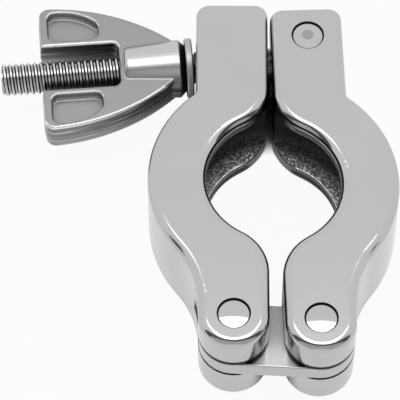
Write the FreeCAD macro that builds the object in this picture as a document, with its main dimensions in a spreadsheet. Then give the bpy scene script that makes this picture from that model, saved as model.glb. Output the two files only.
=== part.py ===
import FreeCAD, Part
import math
import os
import Sketcher

# Hinged clamp for a vacuum flange: two cast jaws on a link plate, closed by an eye bolt and wing nut.
# Frame: origin at the centre of the left jaw's bore, halfway through the clamp's thickness.
# X runs from the left jaw to the right one, Y from the hinge pins to the bolt, Z along the bore's axis.

Vector = FreeCAD.Vector
doc = FreeCAD.newDocument("flange_clamp")

# Two lengths in millimetres that differ by less than this are one and the same
SAME_LENGTH = 0.0001

# Driving dimensions in millimetres and degrees
DIMENSIONS = {
    # Jaw casting, seen along the bore
    "bore_radius": 12.5,
    "outer_radius": 22.7,
    "thickness": 18.8,
    "inner_face": 1.35,
    "leg_outer_face": 14.35,
    "leg_rise": 13.85,
    "leg_corner": 2.4,
    "shoulder_radius": 1.2,
    "flare_radius": 9.0,
    "waist_radius": 18.0,
    "edge_round": 1.5,
    # Flange groove inside the jaws
    "groove_mouth": 12.4,
    "groove_depth": 2.9,
    "groove_flank": 15.0,
    "relief_depth": 1.1,
    "relief_width": 10.2,
    "relief_sweep": 100.0,
    "lip_round": 0.35,
    # Hinge
    "hinge_pitch": 15.0,
    "hinge_reach": 4.92,
    "pin_diameter": 5.5,
    "pin_crown": 19.0,
    "rim_chamfer": 0.2,
    "link_thickness": 3.4,
    "link_side_gap": 0.25,
    "link_edge_inset": 0.12,
    "link_end_gap": 1.1,
    "link_round": 0.3,
    "running_clearance": 0.06,
    # Bolt and its slot across the legs
    "eye_pin_wall": 6.31,
    "eye_pin_inset": 6.25,
    "eye_radius": 5.3,
    "eye_thickness": 6.0,
    "eye_side_gap": 0.3,
    "eye_floor_gap": 1.0,
    "shank_diameter": 5.9,
    "shank_offset": 0.7,
    "shank_length": 56.0,
    "shank_chamfer": 0.6,
    "punch_radius": 0.9,
    "punch_depth": 0.35,
    # Washer
    "washer_diameter": 11.0,
    "washer_thickness": 1.3,
    "washer_clearance": 0.08,
    "washer_round": 0.3,
    "washer_swing_gap": 0.06,
    # Wing nut
    "nut_gap": 0.03,
    "nut_clearance": 0.04,
    "hub_nose_radius": 5.3,
    "hub_back_radius": 4.7,
    "nose_chamfer": 1.1,
    "hub_set_back": 0.8,
    "hub_round": 0.7,
    "wing_length": 26.2,
    "wing_span": 26.1,
    "wing_thickness": 6.4,
    "wing_draft": 4.0,
    "wing_corner": 1.8,
    "wing_root": 1.0,
    "wing_root_width": 6.64,
    "wing_slot": 9.4,
    "slot_length": 14.2,
    "slot_corner": 1.3,
    "wing_round": 0.4,
    "recess_length": 9.4,
    "recess_end_wall": 1.35,
    "recess_slot_wall": 1.05,
    "recess_outer_wall": 1.05,
    "recess_curve": 10.0,
    "recess_peak": 2.2,
    "recess_depth": 1.8,
    "recess_corner": 1.5,
    "recess_floor_round": 0.5,
    "recess_rim_round": 0.25,
    # Pose of the closed clamp
    "link_tilt": 3.1,
    "jaw_turn": 2.1,
    "bolt_tilt": 4.8,
}

sheet = doc.addObject("Spreadsheet::Sheet", "Dimensions")
for row, (alias, value) in enumerate(DIMENSIONS.items(), start=1):
    sheet.set(f"A{row}", alias)
    sheet.set(f"B{row}", str(value))
    sheet.setAlias(f"B{row}", alias)
doc.recompute()


def size(alias):
    return float(sheet.get(alias))


def cell(alias):
    return f"Dimensions.{alias}"


def originFeature(body, role):
    return next(f for f in body.Origin.OriginFeatures if f.Role == role)


def newBody(name):
    body = doc.addObject("PartDesign::Body", name)
    body.Label = name
    return body


def newSketch(body, name, role, offset=None):
    # A sketch on one of the body's own origin planes, shifted along its normal by an expression
    sketch = body.newObject("Sketcher::SketchObject", name)
    sketch.AttachmentSupport = [(originFeature(body, role), "")]
    sketch.MapMode = "FlatFace"
    if offset is not None:
        sketch.setExpression("AttachmentOffset.Base.z", offset)
    return sketch


def bindConstraint(sketch, kind, *args, expression, name, value):
    index = sketch.addConstraint(Sketcher.Constraint(kind, *args, value))
    sketch.renameConstraint(index, name)
    sketch.setExpression(f"Constraints.{name}", expression)


def placePoint(sketch, index, end, x, y, name, xExpression, yExpression):
    # A point follows the sheet; a coordinate without an expression keeps the point on that axis
    if xExpression is None and yExpression is None:
        sketch.addConstraint(Sketcher.Constraint("Coincident", index, end, -1, 1))
        return
    if xExpression is None:
        sketch.addConstraint(Sketcher.Constraint("PointOnObject", index, end, -2))
    else:
        bindConstraint(sketch, "DistanceX", -1, 1, index, end,
                       expression=xExpression, name=f"{name}_x", value=x)
    if yExpression is None:
        sketch.addConstraint(Sketcher.Constraint("PointOnObject", index, end, -1))
    else:
        bindConstraint(sketch, "DistanceY", -1, 1, index, end,
                       expression=yExpression, name=f"{name}_y", value=y)


def drawCircle(sketch, x, y, radius, name, xExpression, yExpression, radiusExpression):
    index = sketch.addGeometry(Part.Circle(Vector(x, y, 0), Vector(0, 0, 1), radius))
    bindConstraint(sketch, "Radius", index, expression=radiusExpression, name=f"{name}_radius", value=radius)
    placePoint(sketch, index, 3, x, y, name, xExpression, yExpression)


def drawPolygon(sketch, corners, name):
    # corners: (x, y, expression for x, expression for y)
    count = len(corners)
    first = sketch.GeometryCount
    for i in range(count):
        start, end = corners[i], corners[(i + 1) % count]
        sketch.addGeometry(Part.LineSegment(Vector(start[0], start[1], 0), Vector(end[0], end[1], 0)))
    for i in range(count):
        following = first + (i + 1) % count
        sketch.addConstraint(Sketcher.Constraint("Coincident", first + i, 2, following, 1))
    for i, (x, y, xExpression, yExpression) in enumerate(corners):
        placePoint(sketch, first + i, 1, x, y, f"{name}_{i}", xExpression, yExpression)


def drawRectangle(sketch, low, high, name):
    # low and high: (x, y, expression for x, expression for y) of two opposite corners
    corners = [
        low,
        (high[0], low[1], high[2], low[3]),
        high,
        (low[0], high[1], low[2], high[3]),
    ]
    drawPolygon(sketch, corners, name)


class Outline:
    # A closed chain of lines and arcs in one sketch, joined end to end in the order they are added
    def __init__(self, sketch):
        self.sketch = sketch
        self.pieces = []

    def add(self, geometry, start, end):
        index = self.sketch.addGeometry(geometry)
        first, last = self.sketch.getPoint(index, 1), self.sketch.getPoint(index, 2)
        forward = first.distanceToPoint(start) < last.distanceToPoint(start)
        self.pieces.append((index, 1 if forward else 2, 2 if forward else 1))
        return index

    def line(self, start, end):
        return self.add(Part.LineSegment(start, end), start, end)

    def arc(self, start, middle, end):
        return self.add(Part.Arc(start, middle, end), start, end)

    def close(self, corners=()):
        # Each joint is tangent, apart from those that follow a piece named in corners
        for i, (index, _, end) in enumerate(self.pieces):
            following, start, _ = self.pieces[(i + 1) % len(self.pieces)]
            kind = "Coincident" if index in corners else "Tangent"
            self.sketch.addConstraint(Sketcher.Constraint(kind, index, end, following, start))


def middleOf(centre, radius, start, end):
    # The point halfway along the shorter arc from start to end
    between = (start - centre) + (end - centre)
    return centre + between.normalize() * radius


def edgesOn(shape, test):
    return [f"Edge{i}" for i, edge in enumerate(shape.Edges, start=1) if test(edge)]


def isSame(one, other):
    return abs(one - other) < SAME_LENGTH


def isOnFace(edge, height):
    return isSame(edge.BoundBox.ZMin, height) and isSame(edge.BoundBox.ZMax, height)


def hasRadius(edge, radius):
    return hasattr(edge.Curve, "Radius") and isSame(edge.Curve.Radius, radius)


def addFeature(body, kind, name, **settings):
    feature = body.newObject(f"PartDesign::{kind}", name)
    for key, value in settings.items():
        setattr(feature, key, value)
    return feature


def dressUp(body, kind, name, base, edges, sizeName, expression):
    feature = addFeature(body, kind, name, Base=(base, edges))
    feature.setExpression(sizeName, expression)
    doc.recompute()
    return feature


def mirrorAcross(body, name, feature):
    # The same feature again on the other side of the body's XY plane
    mirror = addFeature(body, "Mirrored", name, Originals=[feature])
    mirror.MirrorPlane = (originFeature(body, "XY_Plane"), [""])
    body.Tip = mirror
    doc.recompute()
    return mirror


def cutThrough(body, name, sketch, length):
    # A pocket right through the body, to both sides of its sketch
    pocket = addFeature(body, "Pocket", name, Profile=sketch, SideType="Symmetric")
    pocket.setExpression("Length", length)
    before = body.Shape.Volume
    doc.recompute()
    if not body.Shape.Volume < before:
        raise RuntimeError(f"{name} cuts nothing")
    return pocket


# Values that several pieces share, as expressions and as numbers
PIN_OUT = f"{cell('hinge_pitch')} / 2"
PIN_DROP = f"({cell('outer_radius')} + {cell('hinge_reach')})"
EAR_RADIUS = f"({PIN_OUT} - {cell('inner_face')})"
LEG_TOP = f"({cell('outer_radius')} + {cell('leg_rise')})"
EYE_OUT = f"({cell('leg_outer_face')} - {cell('eye_pin_wall')})"
EYE_UP = f"({LEG_TOP} - {cell('eye_pin_inset')})"
GROOVE_RADIUS = f"({cell('bore_radius')} + {cell('groove_depth')})"
RELIEF_RADIUS = f"({GROOVE_RADIUS} + {cell('relief_depth')})"
FORK_SLOT = f"({cell('link_thickness')} + 2 * {cell('link_side_gap')})"
FORK_ROOT = f"({EAR_RADIUS} + {cell('link_end_gap')})"
BOLT_SLOT = f"({cell('eye_thickness')} + 2 * {cell('eye_side_gap')})"
SLOT_FLOOR = f"({EYE_UP} - {cell('eye_radius')} - {cell('eye_floor_gap')})"
PIN_RADIUS = f"{cell('pin_diameter')} / 2"
HALF_THICKNESS = f"{cell('thickness')} / 2"

pinOut = size("hinge_pitch") / 2
pinDrop = size("outer_radius") + size("hinge_reach")
earRadius = pinOut - size("inner_face")
legTop = size("outer_radius") + size("leg_rise")
eyeOut = size("leg_outer_face") - size("eye_pin_wall")
eyeUp = legTop - size("eye_pin_inset")
grooveRadius = size("bore_radius") + size("groove_depth")
reliefRadius = grooveRadius + size("relief_depth")
halfThickness = size("thickness") / 2
pinRadius = size("pin_diameter") / 2
forkSlot = size("link_thickness") + 2 * size("link_side_gap")
boltSlot = size("eye_thickness") + 2 * size("eye_side_gap")
slotFloor = eyeUp - size("eye_radius") - size("eye_floor_gap")


def flip(side, expression):
    return expression if side > 0 else f"-({expression})"


def drawJawOutline(sketch, side):
    # The casting seen along the bore; side is -1 for the left jaw and 1 for the right one
    bore, outer, top = size("bore_radius"), size("outer_radius"), legTop
    inner, legOuter = size("inner_face"), size("leg_outer_face")
    corner, shoulder = size("leg_corner"), size("shoulder_radius")
    flare, waist = size("flare_radius"), size("waist_radius")
    earOuter = pinOut + earRadius
    flareUp = math.sqrt((bore + flare) ** 2 - (inner + flare) ** 2)
    shoulderUp = math.sqrt((outer + shoulder) ** 2 - (legOuter + shoulder) ** 2)
    waistDown = math.sqrt((outer + waist) ** 2 - (earOuter + waist) ** 2)

    def at(x, y):
        return Vector(side * x, y, 0)

    origin = Vector(0, 0, 0)
    pin = at(pinOut, -pinDrop)
    innerCorner, outerCorner = at(inner + corner, top - corner), at(legOuter - corner, top - corner)
    shoulderCentre = at(legOuter + shoulder, shoulderUp)
    waistCentre = at(earOuter + waist, -waistDown)
    lowFlare, highFlare = at(inner + flare, -flareUp), at(inner + flare, flareUp)
    outerStart = shoulderCentre * (outer / (outer + shoulder))
    outerEnd = waistCentre * (outer / (outer + waist))
    boreStart = lowFlare * (bore / (bore + flare))
    boreEnd = highFlare * (bore / (bore + flare))

    outline = Outline(sketch)
    innerFace = outline.line(at(inner, flareUp), at(inner, top - corner))
    firstCorner = outline.arc(
        at(inner, top - corner),
        middleOf(innerCorner, corner, at(inner, top - corner), at(inner + corner, top)),
        at(inner + corner, top),
    )
    topEdge = outline.line(at(inner + corner, top), at(legOuter - corner, top))
    secondCorner = outline.arc(
        at(legOuter - corner, top),
        middleOf(outerCorner, corner, at(legOuter - corner, top), at(legOuter, top - corner)),
        at(legOuter, top - corner),
    )
    legSide = outline.line(at(legOuter, top - corner), at(legOuter, shoulderUp))
    shoulderArc = outline.arc(
        at(legOuter, shoulderUp),
        middleOf(shoulderCentre, shoulder, at(legOuter, shoulderUp), outerStart),
        outerStart,
    )
    outerArc = outline.arc(outerStart, at(outer, 0), outerEnd)
    waistArc = outline.arc(
        outerEnd,
        middleOf(waistCentre, waist, outerEnd, at(earOuter, -waistDown)),
        at(earOuter, -waistDown),
    )
    earSide = outline.line(at(earOuter, -waistDown), at(earOuter, -pinDrop))
    earArc = outline.arc(at(earOuter, -pinDrop), at(pinOut, -pinDrop - earRadius), at(inner, -pinDrop))
    earFace = outline.line(at(inner, -pinDrop), at(inner, -flareUp))
    lowArc = outline.arc(
        at(inner, -flareUp), middleOf(lowFlare, flare, at(inner, -flareUp), boreStart), boreStart
    )
    boreArc = outline.arc(boreStart, at(bore, 0), boreEnd)
    highArc = outline.arc(
        boreEnd, middleOf(highFlare, flare, boreEnd, at(inner, flareUp)), at(inner, flareUp)
    )
    outline.close()

    for line in (innerFace, legSide, earSide, earFace):
        sketch.addConstraint(Sketcher.Constraint("Vertical", line))
    sketch.addConstraint(Sketcher.Constraint("Horizontal", topEdge))
    sketch.addConstraint(Sketcher.Constraint("Coincident", outerArc, 3, -1, 1))
    sketch.addConstraint(Sketcher.Constraint("Coincident", boreArc, 3, -1, 1))
    sketch.addConstraint(Sketcher.Constraint("Equal", firstCorner, secondCorner))
    sketch.addConstraint(Sketcher.Constraint("Equal", lowArc, highArc))
    radii = {
        "bore_radius": (boreArc, bore),
        "outer_radius": (outerArc, outer),
        "leg_corner": (firstCorner, corner),
        "shoulder_radius": (shoulderArc, shoulder),
        "flare_radius": (highArc, flare),
        "waist_radius": (waistArc, waist),
    }
    for alias, (arc, radius) in radii.items():
        bindConstraint(sketch, "Radius", arc, expression=cell(alias), name=f"{alias}_value", value=radius)
    bindConstraint(sketch, "DistanceX", -1, 1, innerFace, 1, name="inner_face_x",
                   expression=flip(side, cell("inner_face")), value=side * inner)
    bindConstraint(sketch, "DistanceX", -1, 1, earFace, 1, name="ear_face_x",
                   expression=flip(side, cell("inner_face")), value=side * inner)
    bindConstraint(sketch, "DistanceX", -1, 1, legSide, 1, name="leg_side_x",
                   expression=flip(side, cell("leg_outer_face")), value=side * legOuter)
    bindConstraint(sketch, "DistanceY", -1, 1, topEdge, 1, name="leg_top_y", expression=LEG_TOP, value=top)
    bindConstraint(sketch, "DistanceX", -1, 1, earArc, 3, name="pin_x",
                   expression=flip(side, PIN_OUT), value=pin.x)
    bindConstraint(sketch, "DistanceY", -1, 1, earArc, 3, name="pin_y",
                   expression=f"-{PIN_DROP}", value=pin.y)


def grooveHalfWidth(radius):
    slope = math.tan(math.radians(size("groove_flank")))
    return size("groove_mouth") / 2 - (radius - size("bore_radius")) * slope


def grooveHalfWidthExpression(radius):
    slope = f"tan({cell('groove_flank')} * 1 deg)"
    return f"({cell('groove_mouth')} / 2 - ({radius} - {cell('bore_radius')}) * {slope})"


def cutFlangeGroove(body, side):
    # A groove with sloping flanks that draws the two flanges together
    inside = size("bore_radius") / 2
    insideExpression = f"{cell('bore_radius')} / 2"
    wideIn, wideDeep = grooveHalfWidth(inside), grooveHalfWidth(grooveRadius)
    wideInExpression = grooveHalfWidthExpression(f"({insideExpression})")
    wideDeepExpression = grooveHalfWidthExpression(GROOVE_RADIUS)
    sketch = newSketch(body, f"{body.Name}_groove_section", "XZ_Plane")
    corners = [
        (side * inside, wideIn, flip(side, insideExpression), wideInExpression),
        (side * grooveRadius, wideDeep, flip(side, GROOVE_RADIUS), wideDeepExpression),
        (side * grooveRadius, -wideDeep, flip(side, GROOVE_RADIUS), f"-{wideDeepExpression}"),
        (side * inside, -wideIn, flip(side, insideExpression), f"-{wideInExpression}"),
    ]
    drawPolygon(sketch, corners, "groove")
    groove = addFeature(body, "Groove", f"{body.Name}_groove", Profile=sketch, Angle=360)
    groove.ReferenceAxis = (originFeature(body, "Z_Axis"), [""])
    doc.recompute()


def roundLips(body):
    # The two long edges where the groove opens into the bore
    bore, mouth = size("bore_radius"), size("groove_mouth") / 2

    def isLip(edge):
        return hasRadius(edge, bore) and (isOnFace(edge, mouth) or isOnFace(edge, -mouth))

    groove = body.Tip
    dressUp(body, "Fillet", f"{body.Name}_lips", groove, edgesOn(groove.Shape, isLip), "Radius",
            cell("lip_round"))


def cutRelief(body, side):
    # The upper half of the groove is cast deeper, from the bore's mid-height up to the leg
    inside, half = size("bore_radius"), size("relief_width") / 2
    sketch = newSketch(body, f"{body.Name}_relief_section", "XZ_Plane")
    low = (side * inside, -half, flip(side, cell("bore_radius")), f"-{cell('relief_width')} / 2")
    high = (side * reliefRadius, half, flip(side, RELIEF_RADIUS), f"{cell('relief_width')} / 2")
    drawRectangle(sketch, low, high, "relief")
    relief = addFeature(body, "Groove", f"{body.Name}_relief", Profile=sketch)
    relief.ReferenceAxis = (originFeature(body, "Z_Axis"), [""])
    relief.setExpression("Angle", cell("relief_sweep"))
    relief.Reversed = side < 0
    before = body.Shape.Volume
    doc.recompute()
    if not body.Shape.Volume < before:
        raise RuntimeError("the relief cuts nothing")


def cutJawSlots(body, side):
    # The fork for the link plate, open at the bottom, and the bolt's slot, open at the top
    sketch = newSketch(body, f"{body.Name}_slot_sections", "YZ_Plane")
    reach = 2 * pinDrop
    forkRoot = earRadius + size("link_end_gap") - pinDrop
    drawRectangle(
        sketch,
        (-reach, -forkSlot / 2, f"-2 * {PIN_DROP}", f"-{FORK_SLOT} / 2"),
        (forkRoot, forkSlot / 2, f"{FORK_ROOT} - {PIN_DROP}", f"{FORK_SLOT} / 2"),
        "fork",
    )
    drawRectangle(
        sketch,
        (slotFloor, -boltSlot / 2, SLOT_FLOOR, f"-{BOLT_SLOT} / 2"),
        (2 * legTop, boltSlot / 2, f"2 * {LEG_TOP}", f"{BOLT_SLOT} / 2"),
        "bolt_slot",
    )
    return cutThrough(body, f"{body.Name}_slots", sketch, f"4 * {cell('outer_radius')}")


def cutPinHoles(body, side, withEyePin):
    sketch = newSketch(body, f"{body.Name}_pin_circles", "XY_Plane")
    drawCircle(sketch, side * pinOut, -pinDrop, pinRadius, "hinge_hole",
               flip(side, PIN_OUT), f"-{PIN_DROP}", PIN_RADIUS)
    if withEyePin:
        drawCircle(sketch, side * eyeOut, eyeUp, pinRadius, "eye_hole",
                   flip(side, EYE_OUT), EYE_UP, PIN_RADIUS)
    return cutThrough(body, f"{body.Name}_pin_holes", sketch, f"2 * {cell('thickness')}")


def makeJaw(name, side, withEyePin):
    body = newBody(name)
    sketch = newSketch(body, f"{name}_outline", "XY_Plane")
    drawJawOutline(sketch, side)
    pad = addFeature(body, "Pad", f"{name}_casting", Profile=sketch, SideType="Symmetric")
    pad.setExpression("Length", cell("thickness"))
    doc.recompute()
    edges = edgesOn(pad.Shape, lambda e: isOnFace(e, halfThickness) or isOnFace(e, -halfThickness))
    dressUp(body, "Fillet", f"{name}_edge_round", pad, edges, "Radius", cell("edge_round"))
    cutFlangeGroove(body, side)
    roundLips(body)
    cutRelief(body, side)
    cutJawSlots(body, side)
    holes = cutPinHoles(body, side, withEyePin)

    def isHoleRim(edge):
        onFace = isOnFace(edge, halfThickness) or isOnFace(edge, -halfThickness)
        return onFace and hasRadius(edge, pinRadius)

    rims = edgesOn(holes.Shape, isHoleRim)
    dressUp(body, "Chamfer", f"{name}_rims", holes, rims, "Size", cell("rim_chamfer"))
    return body


def drawPin(section):
    # Half of a pin's lengthwise section: its axis, its side and a crowned end at either face
    crown, top = size("pin_crown"), halfThickness
    middle = top - crown
    rim = middle + math.sqrt(crown ** 2 - pinRadius ** 2)
    upper, lower = Vector(0, middle, 0), Vector(0, -middle, 0)
    highRim, lowRim = Vector(pinRadius, rim, 0), Vector(pinRadius, -rim, 0)
    outline = Outline(section)
    axis = outline.line(Vector(0, top, 0), Vector(0, -top, 0))
    lowEnd = outline.arc(Vector(0, -top, 0), middleOf(lower, crown, Vector(0, -top, 0), lowRim), lowRim)
    side = outline.line(lowRim, highRim)
    highEnd = outline.arc(highRim, middleOf(upper, crown, highRim, Vector(0, top, 0)), Vector(0, top, 0))
    outline.close(corners=(axis, lowEnd, side, highEnd))
    for end in (1, 2):
        section.addConstraint(Sketcher.Constraint("PointOnObject", axis, end, -2))
    section.addConstraint(Sketcher.Constraint("Vertical", side))
    bindConstraint(section, "DistanceX", -1, 1, side, 1, expression=PIN_RADIUS, name="side_x",
                   value=pinRadius)
    middleExpression = f"({HALF_THICKNESS} - {cell('pin_crown')})"
    for arc, centre, name, expression in (
        (highEnd, upper, "high_crown", middleExpression),
        (lowEnd, lower, "low_crown", f"-{middleExpression}"),
    ):
        placePoint(section, arc, 3, 0, centre.y, name, None, expression)
        bindConstraint(section, "Radius", arc, expression=cell("pin_crown"), name=f"{name}_radius",
                       value=crown)


def makePin(name, punched):
    # A cross pin with slightly crowned ends; the eye bolt's pin has a punch mark on its end
    body = newBody(name)
    half = newSketch(body, f"{name}_section", "XZ_Plane")
    drawPin(half)
    bar = addFeature(body, "Revolution", f"{name}_bar", Profile=half, Angle=360)
    bar.ReferenceAxis = (originFeature(body, "Z_Axis"), [""])
    doc.recompute()
    if punched:
        section = newSketch(body, f"{name}_punch_section", "XZ_Plane")
        radius, depth = size("punch_radius"), size("punch_depth")
        corners = [
            (0, halfThickness - depth, None, f"{HALF_THICKNESS} - {cell('punch_depth')}"),
            (radius, halfThickness, cell("punch_radius"), HALF_THICKNESS),
            (0, halfThickness, None, HALF_THICKNESS),
        ]
        drawPolygon(section, corners, "punch")
        punch = addFeature(body, "Groove", f"{name}_punch", Profile=section, Angle=360)
        punch.ReferenceAxis = (originFeature(body, "Z_Axis"), [""])
        doc.recompute()
    return body


def makeLinkPlate(name):
    # A flat bar with round ends, drilled for the two hinge pins; its own X axis joins the holes
    body = newBody(name)
    end = earRadius - size("link_edge_inset")
    endExpression = f"({EAR_RADIUS} - {cell('link_edge_inset')})"
    holeRadius = pinRadius + size("running_clearance")
    sketch = newSketch(body, f"{name}_outline", "XY_Plane")
    outline = Outline(sketch)
    top = outline.line(Vector(pinOut, end, 0), Vector(-pinOut, end, 0))
    left = outline.arc(Vector(-pinOut, end, 0), Vector(-pinOut - end, 0, 0), Vector(-pinOut, -end, 0))
    bottom = outline.line(Vector(-pinOut, -end, 0), Vector(pinOut, -end, 0))
    right = outline.arc(Vector(pinOut, -end, 0), Vector(pinOut + end, 0, 0), Vector(pinOut, end, 0))
    outline.close()
    sketch.addConstraint(Sketcher.Constraint("Horizontal", top))
    sketch.addConstraint(Sketcher.Constraint("Horizontal", bottom))
    sketch.addConstraint(Sketcher.Constraint("PointOnObject", left, 3, -1))
    bindConstraint(sketch, "Radius", right, expression=endExpression, name="end_radius", value=end)
    bindConstraint(sketch, "DistanceX", -1, 1, right, 3, expression=PIN_OUT, name="right_x", value=pinOut)
    bindConstraint(sketch, "DistanceX", -1, 1, left, 3,
                   expression=f"-{PIN_OUT}", name="left_x", value=-pinOut)
    pad = addFeature(body, "Pad", f"{name}_bar", Profile=sketch, SideType="Symmetric")
    pad.setExpression("Length", cell("link_thickness"))
    doc.recompute()
    face = size("link_thickness") / 2
    edges = edgesOn(pad.Shape, lambda e: isOnFace(e, face) or isOnFace(e, -face))
    dressUp(body, "Fillet", f"{name}_edge_round", pad, edges, "Radius", cell("link_round"))
    circles = newSketch(body, f"{name}_hole_circles", "XY_Plane")
    hole = f"{PIN_RADIUS} + {cell('running_clearance')}"
    drawCircle(circles, pinOut, 0, holeRadius, "right_hole", PIN_OUT, None, hole)
    drawCircle(circles, -pinOut, 0, holeRadius, "left_hole", f"-{PIN_OUT}", None, hole)
    cutThrough(body, f"{name}_holes", circles, f"2 * {cell('thickness')}")
    return body


def makeEyeBolt(name):
    # Its own X axis runs along the shank from the eye's centre; the shank sits a little off that axis
    body = newBody(name)
    eye, shank = size("eye_radius"), size("shank_diameter") / 2
    sketch = newSketch(body, f"{name}_eye_circle", "XY_Plane")
    drawCircle(sketch, 0, 0, eye, "eye", None, None, cell("eye_radius"))
    pad = addFeature(body, "Pad", f"{name}_eye", Profile=sketch, SideType="Symmetric")
    pad.setExpression("Length", cell("eye_thickness"))
    section = newSketch(body, f"{name}_shank_circle", "YZ_Plane")
    drawCircle(section, -size("shank_offset"), 0, shank, "shank",
               f"-{cell('shank_offset')}", None, f"{cell('shank_diameter')} / 2")
    rod = addFeature(body, "Pad", f"{name}_shank", Profile=section)
    rod.setExpression("Length", cell("shank_length"))
    doc.recompute()
    tip = edgesOn(rod.Shape, lambda e: isSame(e.BoundBox.XMin, size("shank_length")))
    dressUp(body, "Chamfer", f"{name}_tip", rod, tip, "Size", cell("shank_chamfer"))
    circle = newSketch(body, f"{name}_bore_circle", "XY_Plane")
    bore = pinRadius + size("running_clearance")
    drawCircle(circle, 0, 0, bore, "bore", None, None, f"{PIN_RADIUS} + {cell('running_clearance')}")
    cutThrough(body, f"{name}_bore", circle, f"2 * {cell('thickness')}")
    return body


def makeWasher(name):
    # A flat ring on the shank; its own X axis is the shank's, and it starts at X = 0
    body = newBody(name)
    outer = size("washer_diameter") / 2
    hole = size("shank_diameter") / 2 + size("washer_clearance")
    sketch = newSketch(body, f"{name}_circles", "YZ_Plane")
    drawCircle(sketch, 0, 0, outer, "rim", None, None, f"{cell('washer_diameter')} / 2")
    drawCircle(sketch, 0, 0, hole, "hole", None, None,
               f"{cell('shank_diameter')} / 2 + {cell('washer_clearance')}")
    pad = addFeature(body, "Pad", f"{name}_ring", Profile=sketch)
    pad.setExpression("Length", cell("washer_thickness"))
    doc.recompute()
    rims = edgesOn(pad.Shape, lambda e: hasRadius(e, outer))
    dressUp(body, "Fillet", f"{name}_round", pad, rims, "Radius", cell("washer_round"))
    return body


# Expressions that the wing nut's sketches share; each wing's edge is the arc from its root to its tip
WING_RUN = f"({cell('wing_length')} - {cell('wing_root')})"
WING_RISE = f"(({cell('wing_span')} - {cell('wing_root_width')}) / 2)"
WING_CURVE = f"(({WING_RUN}^2 + {WING_RISE}^2) / (2 * {WING_RISE}))"
HUB_END = f"({cell('wing_length')} - {cell('slot_length')} - {cell('hub_set_back')})"
RECESS_FAR = f"({cell('wing_length')} - {cell('recess_end_wall')})"
RECESS_INNER = f"({cell('wing_slot')} / 2 + {cell('recess_slot_wall')})"
RECESS_DOWN = f"({cell('wing_span')} / 2 - {cell('recess_outer_wall')} - {cell('recess_curve')})"
RECESS_REACH = f"({cell('recess_length')} - {cell('recess_peak')})"
RECESS_NEAR_WALL = f"({RECESS_DOWN} + sqrt({cell('recess_curve')}^2 - {RECESS_REACH}^2) - {RECESS_INNER})"
RECESS_CORNER = f"min({cell('recess_corner')}; {RECESS_NEAR_WALL} / 2)"


def drawWings(sketch):
    # Both wings' front face, joined across the hub and parted by the slot that the bolt's end runs in
    span, length, root = size("wing_span") / 2, size("wing_length"), size("wing_root")
    halfRoot, corner = size("wing_root_width") / 2, size("wing_corner")
    slot, slotCorner = size("wing_slot") / 2, size("slot_corner")
    floor = length - size("slot_length")
    run, rise = length - root, span - halfRoot
    curve = (run ** 2 + rise ** 2) / (2 * rise)

    def mirrored(point):
        return Vector(point.x, -point.y, 0)

    centre = Vector(length, span - curve, 0)
    cornerUp = centre.y + math.sqrt((curve - corner) ** 2 - corner ** 2)
    cornerCentre = Vector(length - corner, cornerUp, 0)
    front = Vector(root, halfRoot, 0)
    cornerStart = centre + (cornerCentre - centre) * (curve / (curve - corner))
    cornerEnd = Vector(length, cornerUp, 0)
    tip = Vector(length, slot, 0)
    roundStart = Vector(floor + slotCorner, slot, 0)
    roundCentre = Vector(floor + slotCorner, slot - slotCorner, 0)
    roundEnd = Vector(floor, slot - slotCorner, 0)
    edgeMiddle = middleOf(centre, curve, front, cornerStart)
    cornerMiddle = middleOf(cornerCentre, corner, cornerStart, cornerEnd)
    roundMiddle = middleOf(roundCentre, slotCorner, roundStart, roundEnd)

    outline = Outline(sketch)
    upperEdge = outline.arc(front, edgeMiddle, cornerStart)
    upperCorner = outline.arc(cornerStart, cornerMiddle, cornerEnd)
    upperEnd = outline.line(cornerEnd, tip)
    upperWall = outline.line(tip, roundStart)
    upperRound = outline.arc(roundStart, roundMiddle, roundEnd)
    slotFloorLine = outline.line(roundEnd, mirrored(roundEnd))
    lowerRound = outline.arc(mirrored(roundEnd), mirrored(roundMiddle), mirrored(roundStart))
    lowerWall = outline.line(mirrored(roundStart), mirrored(tip))
    lowerEnd = outline.line(mirrored(tip), mirrored(cornerEnd))
    lowerCorner = outline.arc(mirrored(cornerEnd), mirrored(cornerMiddle), mirrored(cornerStart))
    lowerEdge = outline.arc(mirrored(cornerStart), mirrored(edgeMiddle), mirrored(front))
    frontLine = outline.line(mirrored(front), front)
    outline.close(corners=(upperEnd, lowerWall, lowerEdge, frontLine))

    for line in (upperEnd, slotFloorLine, lowerEnd, frontLine):
        sketch.addConstraint(Sketcher.Constraint("Vertical", line))
    for line in (upperWall, lowerWall):
        sketch.addConstraint(Sketcher.Constraint("Horizontal", line))
    radii = {
        "edge_curve": (upperEdge, lowerEdge, WING_CURVE, curve),
        "tip_corner": (upperCorner, lowerCorner, cell("wing_corner"), corner),
        "slot_corner_round": (upperRound, lowerRound, cell("slot_corner"), slotCorner),
    }
    for label, (upper, lower, radiusExpression, radius) in radii.items():
        sketch.addConstraint(Sketcher.Constraint("Equal", upper, lower))
        bindConstraint(sketch, "Radius", upper, expression=radiusExpression, name=label, value=radius)
    curveDown = f"{cell('wing_span')} / 2 - {WING_CURVE}"
    slotUp = f"{cell('wing_slot')} / 2"
    placePoint(sketch, upperEdge, 3, centre.x, centre.y, "upper_curve", cell("wing_length"), curveDown)
    placePoint(sketch, lowerEdge, 3, centre.x, -centre.y, "lower_curve",
               cell("wing_length"), f"-({curveDown})")
    placePoint(sketch, upperEnd, 2, tip.x, tip.y, "upper_tip", cell("wing_length"), slotUp)
    placePoint(sketch, lowerEnd, 1, tip.x, -tip.y, "lower_tip", cell("wing_length"), f"-{slotUp}")
    bindConstraint(sketch, "DistanceX", -1, 1, slotFloorLine, 1, name="slot_floor",
                   expression=f"{cell('wing_length')} - {cell('slot_length')}", value=floor)
    bindConstraint(sketch, "DistanceX", -1, 1, frontLine, 1, name="wing_front",
                   expression=cell("wing_root"), value=root)


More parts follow.
